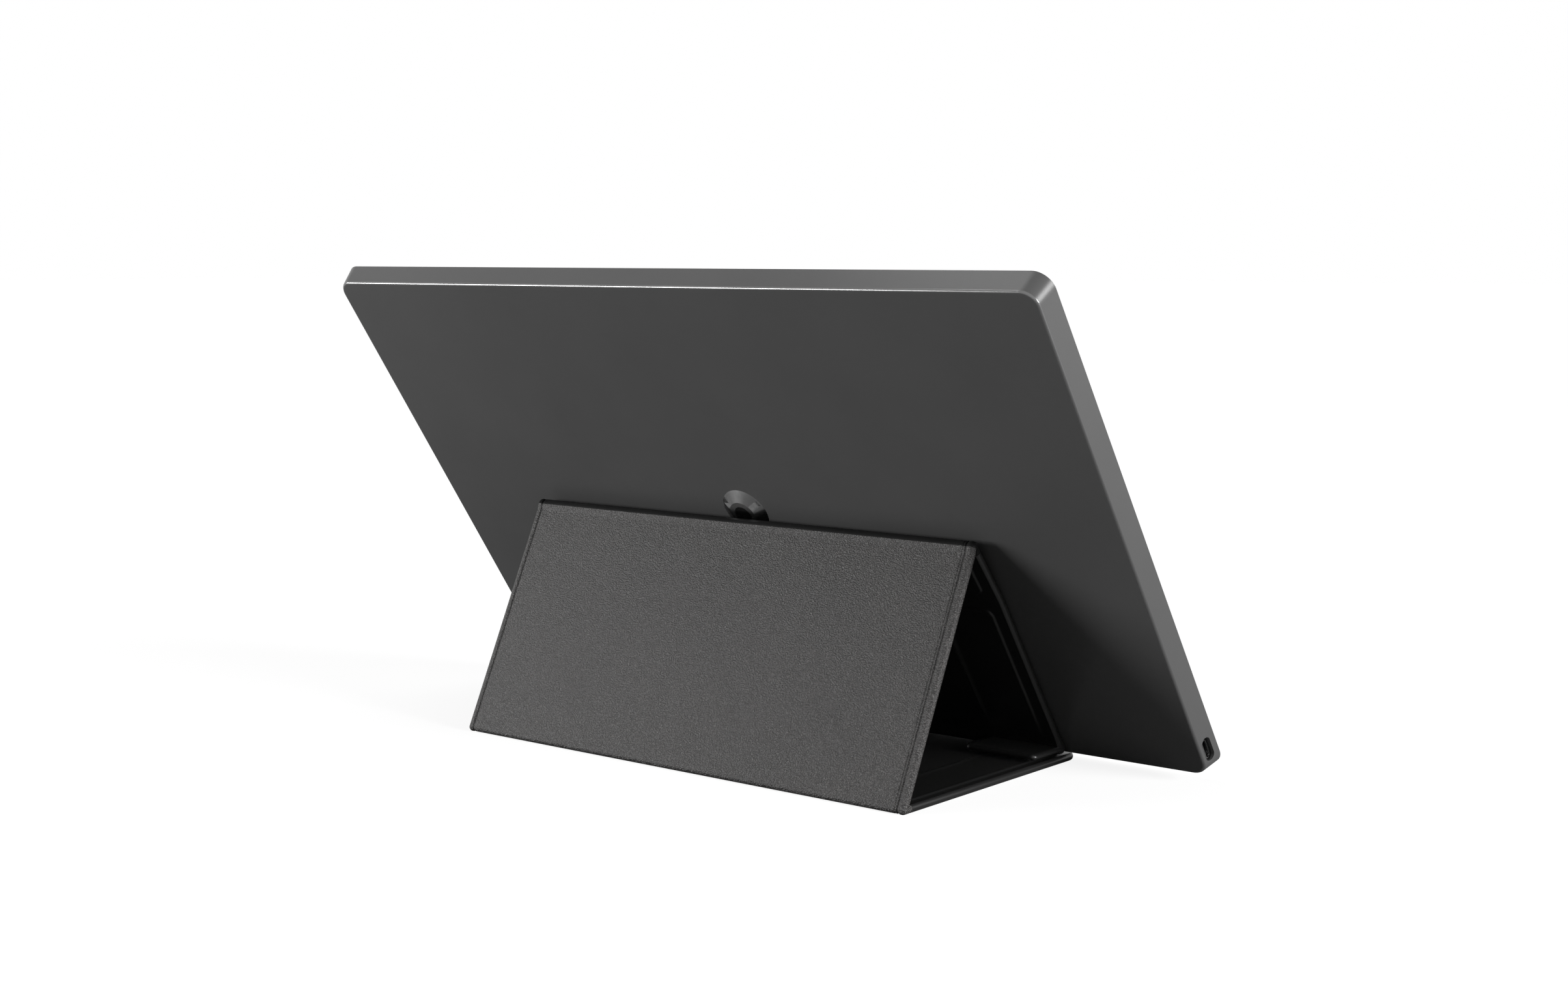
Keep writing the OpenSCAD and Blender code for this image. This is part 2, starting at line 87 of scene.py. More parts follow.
# Marks along the cover's side edges, each as height, distance from the edge and width: the line
# pressed into the leather, the bead outside it, and the second line on the right
PRESSED_LINE = (0.42, 3.5, 0.42)
EDGE_BEAD = (0.1, 1.9, 0.9)
SECOND_LINE = (0.24, 4.75, 0.3)
# Distances from the side edge: where these marks start, how far a dark edge reaches, and where
# the lining starts on the panels without one
MARKS_FROM = 1.2
DARK_EDGE = 1.3
LINING_FROM = 2.6

# Monitor, in its own frame: x across, y up the back from its lower edge, z from the back to the
# screen
LEAN = 55.6
BACK_EDGE = (-55.6, 3.8)
MONITOR_W = 364.6
MONITOR_H = 232.8
MONITOR_T = 9.5
SHELL_H = 7.7
SIDE_FLARE = 2.4
CAD_CORNER_R = 6.4
BACK_CORNER_R, FRONT_CORNER_R = 6.6, 7.6
LIP = 0.15
SIDE_WALL = 1.8
BACK_WALL = 1.4
EDGE_R = 1.1
EDGE_POINTS = 9
PORT_UP, PORT_IN, PORT_L, PORT_W = 10.7, 4.3, 11.2, 4.6
PORT_PLAY = 0.1
BESIDE_PORT = (40.0, 20.0)

# Studio: the floor's tone, how much it glows beside the object, the distances in metres between
# which the glow grows to white for camera rays and for mirrored ones, and the world's light
FLOOR_TONE = 145
FLOOR_GLOW = 0.87
SEEN_GLOW = (0.25, 1.1)
MIRRORED_GLOW = (0.2, 1.1)
WORLD_LIGHT = 0.05


def srgb(*levels):
    """Linear colour of sRGB levels from 0 to 255; one level makes a grey."""
    if len(levels) == 1:
        levels = levels * 3
    share = np.array(levels) / 255
    linear = np.where(share <= 0.04045, share / 12.92, ((share + 0.055) / 1.055) ** 2.4)
    return (*linear.tolist(), 1.0)


class Value:
    """A socket of a finish, whose operators add Math nodes."""

    def __init__(self, finish, socket):
        self.finish, self.socket = finish, socket

    def math(self, operation, *terms):
        """A Math node of that operation."""
        return self.finish.node("Math", {"operation": operation}, terms)

    def __add__(self, other):
        return self.math("ADD", self, other)

    def __sub__(self, other):
        return self.math("SUBTRACT", self, other)

    def __rsub__(self, other):
        return self.math("SUBTRACT", other, self)

    def __mul__(self, other):
        return self.math("MULTIPLY", self, other)

    __radd__ = __add__
    __rmul__ = __mul__


class Finish:
    """A material with one Principled shader. Constants go on the shader's own sockets."""

    def __init__(self, name, color, roughness=0.5, **constants):
        self.material = bpy.data.materials.new(name)
        self.material.use_nodes = True
        self.tree = self.material.node_tree
        self.shader = self.tree.nodes["Principled BSDF"]
        self.set("Base Color", color)
        self.set("Roughness", roughness)
        for socket, value in constants.items():
            self.set(socket.replace("_", " "), value)

    def set(self, socket, value):
        """Give a socket of the shader a constant or another node's output."""
        self.join(self.shader.inputs[socket], value)

    def join(self, socket, value):
        """Give a socket a constant, or link it where the value is another node's output."""
        if isinstance(value, Value):
            self.tree.links.new(value.socket, socket)
        else:
            socket.default_value = value

    def node(self, kind, settings=None, values=(), output=0):
        """A node of any type: settings first, then its sockets by name or in order."""
        made = self.tree.nodes.new("ShaderNode" + kind)
        for key, value in (settings or {}).items():
            setattr(made, key, value)
        named = values.items() if isinstance(values, dict) else enumerate(values)
        for key, value in named:
            self.join(made.inputs[key], value)
        return Value(self, made.outputs[output])

    def place(self):
        """Object coordinates, which are the shared frame's, in metres."""
        return self.node("TexCoord", output="Object")

    def noise(self, size, detail=2.0, rough=0.5, at=None, distortion=0.0, output=0):
        """Noise from 0 to 1 with features of that size in millimetres."""
        return self.node(
            "TexNoise",
            values={
                "Vector": at or self.place(),
                "Scale": 1 / (size * MM),
                "Detail": detail,
                "Roughness": rough,
                "Distortion": distortion,
            },
            output=output,
        )

    def ramp(self, value, low, high, to_low=0.0, to_high=1.0):
        """A smooth step of a value from low to high."""
        return self.node(
            "MapRange",
            {"interpolation_type": "SMOOTHSTEP"},
            {
                "Value": value,
                "From Min": low,
                "From Max": high,
                "To Min": to_low,
                "To Max": to_high,
            },
        )

    def mix(self, share, first, second):
        """Colours mixed by a share from 0 to 1."""
        return self.node(
            "Mix", {"data_type": "RGBA"}, {0: share, 6: first, 7: second}, output=2
        )

    def bump(self, height, depth):
        """A normal from a height of 0 to 1 that stands for a depth in millimetres."""
        return self.node("Bump", values={"Height": height, "Distance": depth * MM})


def stretched(finish, x, y, z):
    """Object coordinates scaled along the three axes."""
    return finish.node(
        "Mapping", {"vector_type": "POINT"}, {"Vector": finish.place(), "Scale": (x, y, z)}
    )


def leather_finish(name, tone, grain=0.5, depth=0.42, rough=0.38):
    """Pebbled leather: small rounded cells, warped and a little wider along X, with fine pores,
    and painted shade and highlight on the cells.
    """
    f = Finish(name, srgb(tone), rough, Specular_IOR_Level=0.5)
    warp = (0.5 * MM,) * 3
    place = f.node(
        "VectorMath",
        {"operation": "MULTIPLY_ADD"},
        {0: f.noise(0.7, 2.0, output="Color"), 1: warp, 2: stretched(f, 0.78, 1.0, 1.0)},
    )
    cells = f.node(
        "TexVoronoi",
        {"feature": "SMOOTH_F1"},
        {"Vector": place, "Scale": 1 / (grain * MM), "Smoothness": 0.6, "Randomness": 1.0},
        output="Distance",
    )
    pebble = 1.0 - f.ramp(cells, -0.1, 0.85)
    fine = f.noise(0.45, 3.0, 0.6, distortion=0.5)
    patches = f.noise(38.0, 3.0, 0.6)
    # Painted shade and highlight: each cell's top is painted lighter and the valleys between cells
    # darker, while the broad patches are random tone.
    shade = pebble * 0.75 + patches * 0.25
    dark = srgb(tone * 0.55, tone * 0.53, tone * 0.525)
    light = srgb(tone * 1.4, tone * 1.36, tone * 1.345)
    f.set("Base Color", f.mix(f.ramp(shade, 0.2, 0.8), dark, light))
    f.set("Roughness", rough + 0.14 * (1.0 - pebble) + 0.08 * (patches - 0.5))
    f.set("Normal", f.bump(pebble * 0.6 + fine * 0.4, depth))
    return f.material


def smooth_leather_finish(name, tone):
    """Leather drawn tight over a fold: nearly no grain, with faint creases along the fold."""
    f = Finish(name, srgb(tone), 0.5, Specular_IOR_Level=0.06)
    creases = f.noise(1.6, 3.0, 0.55, at=stretched(f, 0.12, 1.0, 1.0))
    pores = f.noise(0.5, 3.0, 0.6)
    worn = f.noise(16.0, 3.0, 0.6)
    f.set("Base Color", f.mix(f.ramp(worn, 0.3, 0.7), srgb(tone * 0.88), srgb(tone * 1.1)))
    f.set("Roughness", 0.42 + 0.14 * creases)
    f.set("Normal", f.bump(creases * 0.5 + pores * 0.5, 0.06))
    return f.material


def lining_finish(name, tone=24):
    """Satin lining with a faint cloth-like grain."""
    f = Finish(name, srgb(tone), 0.34, Specular_IOR_Level=0.7)
    grain = f.noise(0.4, 3.0, 0.6)
    waves = f.noise(14.0, 2.0)
    f.set("Base Color", f.mix(f.noise(25.0, 3.0), srgb(tone * 0.8), srgb(tone * 1.25)))
    f.set("Roughness", 0.30 + 0.12 * grain)
    f.set("Normal", f.bump(grain * 0.25 + waves, 0.12))
    return f.material


def casing_finish(name, tone, rough=0.42, grain=0.22, gloss=0.25, **constants):
    """Fine satin coat on moulded plastic: a tiny even texture and faint broad clouding."""
    f = Finish(name, srgb(tone), rough, Specular_IOR_Level=gloss, **constants)
    speck = f.noise(grain, 2.0, 0.6)
    cloud = f.noise(60.0, 3.0, 0.55)
    f.set("Base Color", f.mix(cloud, srgb(tone * 0.95), srgb(tone * 1.05)))
    f.set("Roughness", rough - 0.04 + 0.08 * speck + 0.04 * (cloud - 0.5))
    f.set("Normal", f.bump(speck, 0.012))
    return f.material


def gloss_finish(name, tone, rough=0.12, **constants):
    """Polished plastic with a faint moulding ripple."""
    f = Finish(name, srgb(tone), rough, **constants)
    ripple = f.noise(5.0, 2.0)
    f.set("Roughness", rough + 0.06 * (f.noise(2.0, 3.0) - 0.4))
    f.set("Base Color", f.mix(ripple, srgb(tone * 0.9), srgb(tone * 1.1)))
    f.set("Normal", f.bump(ripple, 0.01))
    return f.material


def metal_finish(name, tone, rough=0.3):
    """Drawn sheet or turned steel with fine scratches along X."""
    f = Finish(name, srgb(tone), rough, Metallic=1.0)
    drawn = f.noise(0.3, 3.0, 0.7, at=stretched(f, 0.06, 1.0, 1.0))
    f.set("Roughness", rough - 0.08 + 0.2 * drawn)
    f.set("Base Color", f.mix(drawn, srgb(tone * 0.9), srgb(tone)))
    f.set("Normal", f.bump(drawn, 0.01))
    return f.material


def board_finish(name, low, high, size=2.0, rough=0.6):
    """Fibre board, film or circuit board: two tones in a fine noise."""
    f = Finish(name, high, rough)
    f.set("Base Color", f.mix(f.noise(size, 4.0, 0.65), low, high))
    f.set("Normal", f.bump(f.noise(size / 3, 3.0), 0.03))
    return f.material


def screen_finish(name):
    """Dark display glass with a hard coat, and a faint tint where the panel lies under it."""
    f = Finish(name, srgb(9, 10, 13), 0.09, Coat_Weight=0.4, Coat_Roughness=0.04)
    f.set("Base Color", f.mix(f.noise(90.0, 2.0), srgb(7, 8, 11), srgb(12, 13, 17)))
    f.set("Roughness", 0.08 + 0.05 * f.noise(30.0, 3.0))
    return f.material


LEATHER = leather_finish("cover_leather", 62)
# The top fold's leather gets a far darker tone than the panels' leather (26 against 62): painted
# shade where the fold is tucked under the monitor's back.
FOLD_LEATHER_PAINTED_SHADE = smooth_leather_finish("fold_leather", 26)
LINING = lining_finish("lining")
COVER_FINISHES = [LEATHER, LINING]
CASING = casing_finish("shell_plastic", 88, 0.3)
# The edge's finish has a lighter tone than the casing's (110 against 88), which is a painted
# highlight round the back's edge. Its gloss and low roughness are the coat's own.
CASING_EDGE_PAINTED_HIGHLIGHT = casing_finish("shell_edge_painted_highlight", 110, 0.14, gloss=1.0, Metallic=0.5)
BEZEL = casing_finish("bezel_plastic", 24, 0.36)

NODE_FINISHES = {
    CASING: ["back_shell"],
    BEZEL: ["front_bezel"],
    screen_finish("screen"): ["lcd_cell"],
    board_finish("film", srgb(226, 228, 230), srgb(240, 241, 243), 6.0, 0.35): [
        "diffuser_films", "light_guide", "reflector_sheet"],
    metal_finish("sheet_metal", 176, 0.34): ["panel_tray", "board_shield", "hub_plate"],
    casing_finish("frame_plastic", 30): ["mid_frame"],
    board_finish("circuit_board", srgb(16, 60, 34), srgb(28, 88, 50), 1.6, 0.42): [
        "led_bar", "main_board", "source_board", "button_board"],
    board_finish("flex", srgb(150, 84, 24), srgb(186, 112, 40), 1.2, 0.4): ["flex_cable"],
    metal_finish("screw_steel", 190, 0.26): ["board_screws", "hub_screws"],
    gloss_finish("port_black", 12, 0.3): ["port_trim", "port_tongue"],
    metal_finish("port_steel", 205, 0.22): ["port_shell"],
    casing_finish("button_plastic", 34, 0.3): [
        "power_button", "brighter_button", "dimmer_button"],
    gloss_finish("lens", 205, 0.1, Transmission_Weight=0.3): ["status_lens"],
    gloss_finish("hub_metal", 165, 0.24, Metallic=1.0): ["hub_boss"],
    gloss_finish("hub_gloss", 8, 0.1): ["hub_cap"],
    board_finish("board", srgb(104, 92, 70), srgb(134, 122, 98), 3.0, 0.8): [
        "base_stiffener", "rear_stiffener", "strip_stiffener", "wall_stiffener",
        "tab_stiffeners"],
    metal_finish("magnet", 196, 0.2): ["base_magnets", "tab_magnets"],
    metal_finish("edge_steel", 208, 0.16): ["tab_end_strips"],
}
for finish, names in NODE_FINISHES.items():
    for name in names:
        slots = frame["nodes"][name].data.materials
        slots.clear()
        slots.append(finish)


def piece(name, points, faces, finishes, sharp=38.0, marks=None):
    """A closed mesh from points in millimetres. marks gives each face's material number."""
    mesh = bpy.data.meshes.new(name)
    mesh.from_pydata((np.asarray(points).reshape(-1, 3) * MM).tolist(), [], faces)
    for finish in finishes:
        mesh.materials.append(finish)
    if marks is not None:
        mesh.polygons.foreach_set("material_index", np.asarray(marks, np.int32))
    solid = bmesh.new()
    solid.from_mesh(mesh)
    bmesh.ops.recalc_face_normals(solid, faces=solid.faces)
    solid.to_mesh(mesh)
    solid.free()
    mesh.shade_smooth()
    mesh.set_sharp_from_angle(angle=math.radians(sharp))
    obj = bpy.data.objects.new(name, mesh)
    bpy.context.scene.collection.objects.link(obj)
    return obj


def tube_faces(rows, columns):
    """Faces of a grid that closes round its columns, with a cap over each end."""
    index = np.arange(rows * columns).reshape(rows, columns)
    here, there = index[:-1], index[1:]
    quads = np.stack([here, np.roll(here, -1, 1), np.roll(there, -1, 1), there], -1)
    return quads.reshape(-1, 4).tolist() + [index[0, ::-1].tolist(), index[-1].tolist()]


def hump(at, tall, middle, width):
    """A bell-shaped rise of that height: tall * exp(-((at - middle) / width)^2)."""
    return tall * np.exp(-(((at - middle) / width) ** 2))


def smooth(at, low, high):
    """A smooth step from 0 at low to 1 at high: s^2 (3 - 2 s) of the share s."""
    share = np.clip((at - low) / (high - low), 0, 1)
    return share * share * (3 - 2 * share)


def spread(start, end, step):
    """Places from start to end, about a step apart."""
    return np.linspace(start, end, max(2, round(abs(end - start) / step) + 1))


# Distances from the cover's side edge at which its section has points
EDGE_ROLL = HALF_T * (1 - np.cos(np.linspace(0, math.pi / 2, 8)))
EDGE_STEPS = np.unique(np.round(np.concatenate([
    EDGE_ROLL, spread(HALF_T, 2.5, 0.25), spread(2.5, 5.8, 0.15), spread(5.8, 8, 0.4),
    spread(9, 23, 2), spread(24, 34, 0.5), spread(36, 52, 4), spread(60, 110, 10),
    [COVER_W / 2]]), 3))


def section(width, edge_steps):
    """x and side of the closed section: the leather from -X to +X, then the lining back."""
    half = width / 2
    steps = edge_steps[edge_steps <= half]
    if steps[-1] < half:
        steps = np.append(steps, half)
    across = np.concatenate([-(half - steps), (half - steps)[-2::-1]])
    x = np.concatenate([across, across[-2:0:-1]])
    side = np.concatenate([np.ones(len(across)), -np.ones(len(across) - 2)])
    return x, side


def band(name, centre, normal, outer, inner, finishes, narrow=0.0, width=COVER_W, middle=0.0,
         relief=None, lined=True, dark_edge=False, groove=1.0, edge_steps=EDGE_STEPS,
         grained_rows=0):
    """A strip of the cover along a side-view path.

    Each station of the path has a centre (y, z), a normal towards the leather and its outer and
    inner thickness. The surface is P(u, v) = centre(u) + normal(u) * height(u, v) at x(v), where
    height rolls round the side edges as a quarter circle, dips into the pressed line and, on the
    lining side, follows the relief. narrow(u) is how much each side edge moves in. The lining's
    faces have the second finish, with dark_edge up to the leather's edges, and the other faces
    of the first grained_rows rows have the third.
    """
    x, side = section(width, edge_steps)
    rows = len(centre)
    outer, inner, narrow = (np.broadcast_to(a, rows)[:, None] for a in (outer, inner, narrow))
    edge = width / 2 - np.abs(x)
    roll = np.sqrt(np.clip(1 - (1 - np.clip(edge / HALF_T, 0, 1)) ** 2, 0, 1))
    roll[edge < 1e-6] = 0.0
    right = x < 0
    pressed = hump(edge, *PRESSED_LINE) - hump(edge, *EDGE_BEAD)
    pressed = pressed + np.where(right, hump(edge, *SECOND_LINE), 0.0)
    leather = roll * outer - groove * pressed * (edge > MARKS_FROM)
    lining = roll * inner
    if relief is not None:
        lining = lining + relief(edge[None, :], right[None, :]) * (edge > MARKS_FROM)
    height = np.where(side > 0, leather, -lining)
    points = np.empty((rows, len(x), 3))
    points[..., 0] = middle + x * (1 - narrow / (width / 2))
    points[..., 1:] = centre[:, None, :] + normal[:, None, :] * height[..., None]
    faces = tube_faces(rows, len(x))
    inside = (side < 0) & (edge > LINING_FROM) if lined else np.zeros(len(x), bool)
    if dark_edge:
        inside = (side < 0) | (edge < DARK_EDGE)
    both = inside & np.roll(inside, -1)
    marks = np.concatenate([np.tile(both, rows - 1), [False, False]]).astype(int)
    grained = np.arange(len(marks)) < grained_rows * len(x)
    marks[grained & (marks == 0)] = 2
    return piece(name, points, faces, finishes, marks=marks)


def direction(angle):
    """The unit vector (y, z) at an angle in degrees from Y towards Z."""
    return np.array([math.cos(math.radians(angle)), math.sin(math.radians(angle))])


def quarter_left(way):
    """A side-view vector turned by a quarter from Y towards Z."""
    return np.array([-way[1], way[0]])


JOINTS = {joint["name"]: joint for joint in frame["joints"]}


def axis_of(joint):
    """A hinge's axis in the side view, (y, z) in millimetres."""
    return np.array(JOINTS[joint]["pos_m"][1:]) / MM


REAR_AXIS = axis_of("rear_fold_hinge")
TOP_AXIS = axis_of("top_fold_hinge")
FRONT_AXIS = axis_of("tab_hinge")

# Each panel's direction in the side view, the base's away from the rear fold and the others'
# upwards, and its normal towards the leather
BASE_WAY = np.array([-1.0, 0.0])
WALL_WAY = direction(WALL_ANGLE)
CREASE_AXIS = FRONT_AXIS + WALL_LENGTH * WALL_WAY
REAR_LENGTH = np.linalg.norm(TOP_AXIS - REAR_AXIS)
REAR_WAY = (TOP_AXIS - REAR_AXIS) / REAR_LENGTH
STRIP_LENGTH = np.linalg.norm(TOP_AXIS - CREASE_AXIS)
STRIP_WAY = (TOP_AXIS - CREASE_AXIS) / STRIP_LENGTH
BASE_NORMAL = np.array([0.0, -1.0])
REAR_NORMAL = -quarter_left(REAR_WAY)
STRIP_NORMAL = quarter_left(STRIP_WAY)
WALL_NORMAL = quarter_left(WALL_WAY)


def fold_inset(first, second):
    """How far from a fold's axis two panels start, so that their inner faces don't meet."""
    between = math.acos(float(np.clip(first @ second, -1, 1)))
    return (HALF_T + FOLD_PLAY) / math.tan(between / 2)


REAR_INSET = fold_inset(BASE_WAY, REAR_WAY)
TOP_INSET = fold_inset(-REAR_WAY, -STRIP_WAY)


def board_relief(along, start, end, border=4.6, corner=4.0, rise=0.4, lines=()):
    """Height of the lining over a board: 0 on the board and -rise round it.

    It is a smooth step of the signed distance to a rounded rectangle, with a soft bead along
    the step, plus a straight ridge for each of the lines: distance from the right edge, height,
    start and end.
    """

    def relief(edge, right):
        half_along = (end - start) / 2
        u = np.abs(along - (start + end) / 2)[:, None] - half_along + corner
        v = border - edge + corner
        outside = np.hypot(np.maximum(u, 0), np.maximum(v, 0)) + np.minimum(np.maximum(u, v), 0)
        depth = corner - outside
        height = -rise * (1 - smooth(depth, -0.5, 0.6)) + hump(depth, 0.16, 0.9, 0.55)
        for at, tall, low, high in lines:
            run = smooth(along, low - 3, low + 3) * (1 - smooth(along, high - 3, high + 3))
            height = height + np.where(right, hump(edge, tall, at, 0.9), 0) * run[:, None]
        return height

    return relief


def stations(start, end, fine=8.0):
    """Places along a panel, close together near both ends."""
    return np.unique(np.round(np.concatenate([
        spread(start, start + fine, FOLD_STEP), spread(start + fine, end - fine, 6.0),
        spread(end - fine, end, FOLD_STEP)]), 4))


def corner_inset(to_end, radius):
    """How far a side edge has moved in at a distance from the end, for a round corner."""
    short = np.clip(radius - to_end, 0, radius)
    return radius - np.sqrt(np.clip(radius**2 - short**2, 0, None))


def rounded_end(to_end, length, least):
    """Share of the thickness at a distance from the end: a quarter circle of that length."""
    return np.sqrt(np.clip(1 - (1 - np.clip(to_end / length, 0, 1)) ** 2, least, 1))


def side_view_point(at):
    """A (y, z) place in millimetres as a point in metres."""
    return (0, *(at * MM))


def fold_arc(axis, way_in, way_out, normal_in, normal_out, web, radius):
    """Path of a fold between two panels, from web before the axis to web after it.

    The leather side is a circle about the axis between the two normals, tangent to both webs.
    The lining side runs from each panel's inner face to a thin skin at the axis.
    """
    reach = spread(web, 0, FOLD_STEP)
    first = math.atan2(normal_in[1], normal_in[0])
    turn = math.atan2(normal_out[1], normal_out[0]) - first
    turn = (turn + math.pi) % (2 * math.pi) - math.pi
    angles = first + turn * np.linspace(0, 1, 15)[1:-1]
    centre = np.concatenate([
        axis - reach[:, None] * way_in, np.tile(axis, (len(angles), 1)),
        axis + reach[::-1, None] * way_out])
    normal = np.concatenate([
        np.tile(normal_in, (len(reach), 1)),
        np.stack([np.cos(angles), np.sin(angles)], -1),
        np.tile(normal_out, (len(reach), 1))])
    near = np.concatenate([reach, np.zeros(len(angles)), reach[::-1]]) / web
    outer = radius + (HALF_T - radius) * smooth(near, 0, 1)
    inner = FOLD_SKIN + (HALF_T - FOLD_SKIN) * smooth(near, 0, 1)
    return centre, normal, outer, inner


def base_panel():
    """The base from its rounded free end to the rear fold."""
    along = stations(REAR_INSET, BASE_END)
    thick = HALF_T * rounded_end(BASE_END - along, 1.6, 0.02)
    relief = board_relief(along, 7.0, BASE_END - 4.6,
                          lines=[(26.0, 0.3, 40, 86), (12.0, 0.2, 82, 86)])
    made = band("base_leather", REAR_AXIS + along[:, None] * BASE_WAY,
                np.tile(BASE_NORMAL, (len(along), 1)), thick, thick, COVER_FINISHES,
                narrow=corner_inset(BASE_END - along, 4.0), relief=relief, dark_edge=True)
    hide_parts("base_skin", "base_lining")
    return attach(made, "base")


def rear_panel():
    """The rear panel between the rear fold and the top fold."""
    along = stations(REAR_INSET, REAR_LENGTH - TOP_INSET)
    relief = board_relief(along, 7.0, REAR_LENGTH - 7.0)
    made = band("rear_leather", REAR_AXIS + along[:, None] * REAR_WAY,
                np.tile(REAR_NORMAL, (len(along), 1)), HALF_T, HALF_T, COVER_FINISHES,
                relief=relief)
    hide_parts("rear_skin", "rear_lining")
    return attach(made, "rear_panel")


def front_panel():
    """The strip, the crease, the wall and the rolled front end, which move as one."""
    strip = stations(TOP_INSET, STRIP_LENGTH - CREASE_WEB, 6.0)
    wall = stations(CREASE_WEB, WALL_LENGTH, 6.0)
    bend = np.linspace(0, 1, 7)[1:-1]
    centre = np.concatenate([
        TOP_AXIS - strip[:, None] * STRIP_WAY,
        CREASE_AXIS + ((1 - bend) * CREASE_WEB)[:, None] * STRIP_WAY * 0.5
        - (bend * CREASE_WEB)[:, None] * WALL_WAY * 0.5,
        CREASE_AXIS - wall[:, None] * WALL_WAY])
    tilt = np.concatenate([np.zeros(len(strip)), bend, np.ones(len(wall))])[:, None]
    normal = STRIP_NORMAL * (1 - tilt) + WALL_NORMAL * tilt
    normal /= np.linalg.norm(normal, axis=1, keepdims=True)
    along = np.concatenate([strip, STRIP_LENGTH + (2 * bend - 1) * CREASE_WEB,
                            STRIP_LENGTH + wall])
    total = STRIP_LENGTH + WALL_LENGTH
    swell = HALF_T + (FOLD_R - HALF_T) * smooth(along, total - 7.5, total - 2.0)
    tip = np.linspace(0, math.pi / 2, 9)[1:]
    roll = np.cos(tip).clip(0.03)
    reach = np.sin(tip) * FOLD_R
    centre = np.concatenate([centre, FRONT_AXIS - reach[:, None] * WALL_WAY])
    normal = np.concatenate([normal, np.tile(WALL_NORMAL, (len(tip), 1))])
    thick = np.concatenate([swell, FOLD_R * roll])
    narrow = np.concatenate([np.zeros(len(along)), 1.6 * (1 - roll)])
    along = np.concatenate([along, total + reach])
    strip_relief = board_relief(along, 5.5, STRIP_LENGTH - 4.0, border=6.5, rise=0.55)
    wall_relief = board_relief(along, STRIP_LENGTH + 4.0, total - 9.0, border=6.5, rise=0.55,
                               lines=[(32.0, 0.7, STRIP_LENGTH + 8, total - 14)])
    fade = (1 - smooth(along, total - 5, total))[:, None]

    def faded(edge, right):
        """Both boards' relief, gone where the leather rolls round the front end."""
        return np.maximum(strip_relief(edge, right), wall_relief(edge, right)) * fade

    made = band("front_leather", centre, normal, thick, thick, COVER_FINISHES, narrow=narrow,
                relief=faded, dark_edge=True)
    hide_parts("strip_skin", "strip_lining", "crease_fold", "wall_skin", "wall_lining",
                "front_fold")
    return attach(made, "front_wall")


def folds():
    """The two leather folds at the rear hinge and the top hinge."""
    rear = fold_arc(REAR_AXIS, -BASE_WAY, REAR_WAY, BASE_NORMAL, REAR_NORMAL, REAR_INSET,
                    HALF_T)
    made = band("rear_fold_leather", *rear, COVER_FINISHES)
    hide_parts("rear_fold")
    side_view_point(REAR_AXIS + REAR_INSET * BASE_WAY)
    side_view_point(REAR_AXIS + REAR_INSET * REAR_WAY)
    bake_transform(made)
    top = fold_arc(TOP_AXIS, REAR_WAY, -STRIP_WAY, REAR_NORMAL, STRIP_NORMAL, TOP_INSET, FOLD_R)
    # The fold's smooth finish is dark with painted shade, and the rows next to the rear panel keep
    # the grained leather.
    made = band("top_fold_leather", *top, [FOLD_LEATHER_PAINTED_SHADE, LINING, LEATHER],
                grained_rows=round(TOP_INSET / FOLD_STEP) - 1)
    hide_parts("top_fold")
    side_view_point(TOP_AXIS - TOP_INSET * REAR_WAY)
    side_view_point(TOP_AXIS - TOP_INSET * STRIP_WAY)
    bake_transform(made)


def end_tab(side):
    """One end tab: from inside the front roll it lies back over the base, with a rounded end."""
    along = np.unique(np.concatenate([spread(0.8, 8, 0.4), spread(8, 19, 1.5),
                                      spread(19, TAB_LENGTH, 0.25)]))
    thick = TAB_HALF_T * rounded_end(TAB_LENGTH - along, 1.1, 0.03)
    steps = np.unique(np.concatenate([EDGE_ROLL, spread(2, 5.8, 0.3), spread(6, 17, 2)]))
    made = band("tab_leather_" + ("left" if side > 0 else "right"),
                FRONT_AXIS - along[:, None] * BASE_WAY, np.tile(BASE_NORMAL, (len(along), 1)),
                thick, thick, [LINING, LINING], narrow=corner_inset(TAB_LENGTH - along, 2.0),
                width=TAB_WIDTH, middle=side * (COVER_W - TAB_WIDTH) / 2, lined=False,
                groove=0.35, edge_steps=steps)
    side_view_point(FRONT_AXIS - 1.0 * BASE_WAY)
    side_view_point(FRONT_AXIS - FRONT_WEB * BASE_WAY)
    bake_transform(made)
    return made


def rounded_outline(offset, height, corner_steps=12):
    """x and y of the casing's rounded rectangle, grown by offset from the back's outline.

    The corner radius grows a little from the back to the screen. The side at -X has points
    beside the port's place, so that its opening cuts only a short stretch.
    """
    radius = BACK_CORNER_R + (FRONT_CORNER_R - BACK_CORNER_R) * height / MONITOR_T
    radius += min(offset - SIDE_FLARE * height / MONITOR_T, 0)
    half, low, high = MONITOR_W / 2 + offset, -offset, MONITOR_H + offset
    turn = np.linspace(0, math.pi / 2, corner_steps)
    centres = [(half - radius, high - radius), (radius - half, high - radius),
               (radius - half, low + radius), (half - radius, low + radius)]
    stretches = []
    for quarter, (x, y) in enumerate(centres):
        angle = turn + quarter * math.pi / 2
        stretches.append(np.stack([x + radius * np.cos(angle), y + radius * np.sin(angle)], -1))
        if quarter == 1:
            stretches.append(np.array([[-half, y] for y in BESIDE_PORT]))
    return np.concatenate(stretches)


MONITOR_UP = direction(LEAN)
MONITOR_OUT = quarter_left(MONITOR_UP)


def on_monitor(points):
    """Points of the monitor's frame, moved to where it stands."""
    yz = np.array(BACK_EDGE) + points[..., 1:2] * MONITOR_UP + points[..., 2:3] * MONITOR_OUT
    return np.concatenate([points[..., :1], yz], -1)


